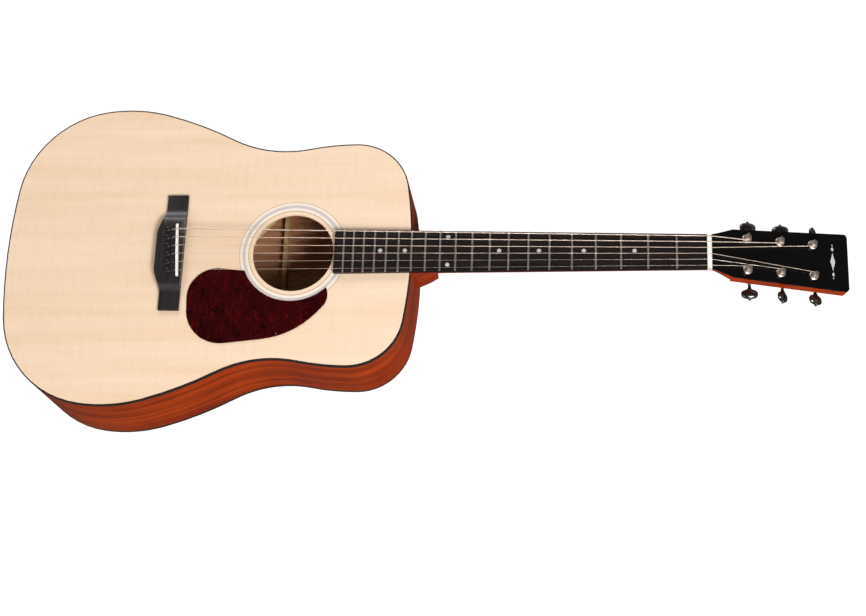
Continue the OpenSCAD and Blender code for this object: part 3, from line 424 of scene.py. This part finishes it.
def winding(number):
    """A string's turns round its post, up to the hole, through it and out as a cut end."""
    gauge = GAUGES[number - 1]
    centre = HEAD.inverted() @ Vector(joints[f"post_{number}_turn"]["pos_m"])
    side = 1 if centre.y > 0 else -1
    row = number - 1 if number <= 3 else 6 - number
    radius = POST_WAIST + gauge / 2 + CLEARANCE
    low = 5.2 - 0.4 * row
    turns = round(max(1, min(3, (POST_HOLE - low) / gauge)))
    path = []
    for step in range(turns * STEPS + 1):
        share = step / (turns * STEPS)
        angle = side * (2 * math.pi * turns * share - math.pi / 2)
        path.append((radius * math.cos(angle), radius * math.sin(angle), low + (POST_HOLE - low) * share))
    path += [(0.3 * gauge, -side * (radius - 0.45 * gauge), POST_HOLE), (0.1, 0, POST_HOLE),
             (0, side * radius, POST_HOLE), (0.3, side * (radius + CUT_END), POST_HOLE + 0.5)]
    curve = bpy.data.curves.new(f"winding_{number}", "CURVE")
    curve.dimensions = "3D"
    curve.bevel_depth, curve.bevel_resolution, curve.use_fill_caps = gauge / 2 * MM, 3, True
    spline = curve.splines.new("POLY")
    spline.points.add(len(path) - 1)
    for point, place in zip(spline.points, path):
        point.co = (*(HEAD @ (Vector((centre.x, centre.y, 0)) + Vector(place))), 1)
    obj = bpy.data.objects.new(f"winding_{number}", curve)
    bpy.context.scene.collection.objects.link(obj)
    slot = "plain_string" if number < 3 else "wound_string"
    curve.materials.append(slots[slot])
    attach(obj, f"post_{number}")


for number in range(1, 7):
    winding(number)


# ---- Headstock inlay: a plain ornament of pearl lozenges ----
def lozenges():
    """A long hollow-sided lozenge between smaller ones, across the head beyond the last posts."""
    from_first_post = 107
    sides, hollowness = 32, 2.2
    def hollow(value):
        return math.copysign(abs(value) ** hollowness, value)
    mesh = bmesh.new()
    for middle, half_length, half_width in ((0, 12, 3.2), (16.5, 3.2, 1.8), (-16.5, 3.2, 1.8),
                                            (21.5, 1.1, 1.1), (-21.5, 1.1, 1.1)):
        ring = []
        for step in range(sides):
            angle = 2 * math.pi * step / sides
            along = from_first_post + half_width * hollow(math.cos(angle))
            across = middle + half_length * hollow(math.sin(angle))
            ring.append(mesh.verts.new(HEAD @ Vector((along, across, 0.02))))
        mesh.faces.new(ring)
    data = bpy.data.meshes.new("head_inlay")
    mesh.to_mesh(data)
    mesh.free()
    obj = bpy.data.objects.new("head_inlay", data)
    bpy.context.scene.collection.objects.link(obj)
    sheet = obj.modifiers.new("thickness", "SOLIDIFY")
    sheet.thickness, sheet.offset = 0.2 * MM, 1
    data.materials.append(slots["pearl_dot"])
    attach(obj, "instrument")


lozenges()


# ---- Studio ----
def studio():
    """Soft light from low down, weaker from above, and white wherever the camera looks past the object."""
    world = bpy.data.worlds.new("studio")
    bpy.context.scene.world = world
    world.use_nodes = True
    sky = world.node_tree
    toward = sky.nodes.new("ShaderNodeTexCoord").outputs["Generated"]
    height = sky.nodes.new("ShaderNodeSeparateXYZ")
    light = sky.nodes.new("ShaderNodeMapRange")
    for key, value in {"From Min": 0.2, "From Max": 0.7, "To Min": 0.45, "To Max": 0.08}.items():
        light.inputs[key].default_value = value
    seen = sky.nodes.new("ShaderNodeLightPath").outputs["Is Camera Ray"]
    strength = sky.nodes.new("ShaderNodeMath")
    strength.operation = "MAXIMUM"
    sky.links.new(toward, height.inputs[0])
    sky.links.new(height.outputs["Z"], light.inputs["Value"])
    sky.links.new(light.outputs[0], strength.inputs[0])
    sky.links.new(seen, strength.inputs[1])
    sky.links.new(strength.outputs[0], sky.nodes["Background"].inputs["Strength"])
    sky.nodes["Background"].inputs["Color"].default_value = (1, 1, 1, 1)


def paper_floor():
    """A plain floor that looks white to the camera and lights the object only dimly."""
    mesh = bpy.data.meshes.new("floor")
    reach = 8
    mesh.from_pydata([(-reach, -reach, 0), (reach, -reach, 0), (reach, reach, 0), (-reach, reach, 0)],
                     [], [(0, 1, 2, 3)])
    floor = bpy.data.objects.new("floor", mesh)
    just_below = -0.0005
    floor.location.z = just_below
    bpy.context.scene.collection.objects.link(floor)
    s = Shader("floor_paper", Base_Color=(0.12, 0.12, 0.12), Roughness=0.9, Specular_IOR_Level=0.0,
               Emission_Color=(1, 1, 1))
    s.set(Emission_Strength=s.node("LightPath", {}))
    mesh.materials.append(s.material)


def softbox(name, place, target, size, power):
    """A rectangular area light, power in watts, turned towards target."""
    lamp = bpy.data.lights.new(name, "AREA")
    lamp.shape, lamp.size, lamp.size_y = "RECTANGLE", *size
    lamp.energy = power
    obj = bpy.data.objects.new(name, lamp)
    obj.location = place
    obj.rotation_mode = "QUATERNION"
    obj.rotation_quaternion = (Vector(target) - Vector(place)).to_track_quat("-Z", "Y")
    bpy.context.scene.collection.objects.link(obj)


def camera():
    """The photograph's viewing angle, a little to the head's side and leaning back from the treble side."""
    place, target, roll = Vector((0.3255, -0.7230, 1.9217)), Vector((-0.0167, -0.0563, 0.06)), -26.37
    lens = bpy.data.cameras.new("camera")
    lens.sensor_width, lens.lens, lens.shift_x = 36, 66.9, 0.0381
    obj = bpy.data.objects.new("camera", lens)
    obj.location = place
    obj.rotation_mode = "QUATERNION"
    aim = (target - place).to_track_quat("-Z", "Y")
    obj.rotation_quaternion = aim @ Quaternion((0, 0, 1), math.radians(roll))
    bpy.context.scene.collection.objects.link(obj)
    bpy.context.scene.camera = obj


studio()
paper_floor()
softbox("key", (1.35, -1.6, 2.0), (0, 0, 0.05), (1.2, 1.0), 88)
softbox("fill", (-1.5, -1.6, 1.8), (-0.1, 0, 0.05), (1.2, 1.2), 12)
softbox("rim", (-0.7, 1.77, 1.17), (-0.27, 0, 0.1), (0.9, 0.7), 17)
camera()
bpy.context.scene.view_settings.view_transform = "Standard"
